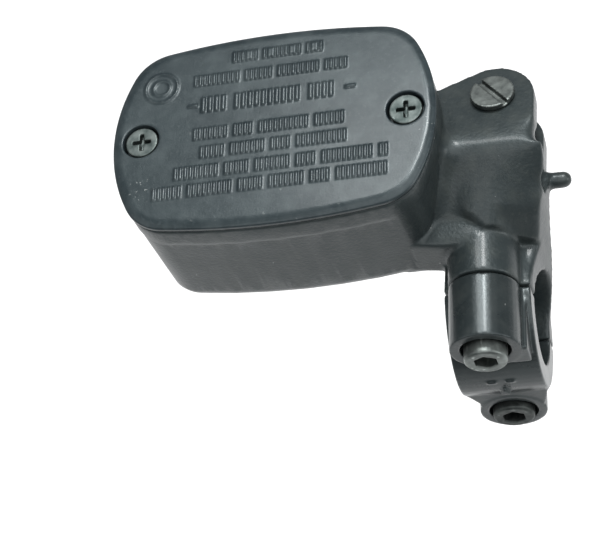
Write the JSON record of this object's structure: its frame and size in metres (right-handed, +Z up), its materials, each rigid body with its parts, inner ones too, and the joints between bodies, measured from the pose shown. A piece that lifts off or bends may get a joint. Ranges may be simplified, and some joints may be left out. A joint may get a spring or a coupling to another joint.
{
  "type": "motorcycle front brake master cylinder",
  "caption": "Handlebar-clamped hydraulic front brake master cylinder with an integral rectangular fluid reservoir, screwed cover, lever ears and a spring-returned piston.",
  "frame": {"origin": "centre of the handlebar bore at the middle of the clamp's width", "axes": "+X along the handlebar towards its outer end, +Y forward away from the rider, +Z up, square to the reservoir cover"},
  "size_m": [0.1027, 0.0761, 0.0723],
  "materials": {
    "cast_paint": "cast aluminium under satin black paint",
    "cover_paint": "thin cast aluminium under semi-gloss black paint",
    "rubber": "matte black EPDM rubber",
    "nylon": "natural nylon",
    "zinc_steel": "zinc plated steel",
    "black_steel": "black oxide steel",
    "piston_alloy": "machined and anodised"
  },
  "bodies": {
    "housing": {"master_cylinder_body": "cast_paint", "clamp_holder": "cast_paint", "reservoir_cover": "cover_paint", "diaphragm": "rubber", "diaphragm_set_plate": "nylon", "port_baffle_plate": "zinc_steel", "cover_screw_inboard": "zinc_steel", "cover_screw_outboard": "zinc_steel", "clamp_bolt_upper": "black_steel", "clamp_bolt_lower": "black_steel", "lever_pivot_bolt": "black_steel", "lever_pivot_nut": "zinc_steel", "return_spring": "zinc_steel", "stop_washer": "zinc_steel", "circlip": "black_steel", "dust_boot": "rubber"},
    "piston_set": {"piston": "piston_alloy", "primary_cup": "rubber", "secondary_cup": "rubber"}
  },
  "joints": [
    {"name": "piston_slide", "type": "slide", "parent": "housing", "child": "piston_set", "axis": [1, 0, 0], "range_m": [-0.009, 0], "stiffness_N_per_m": 1500, "springref_m": 0.01, "deforming": ["return_spring"]}
  ]
}
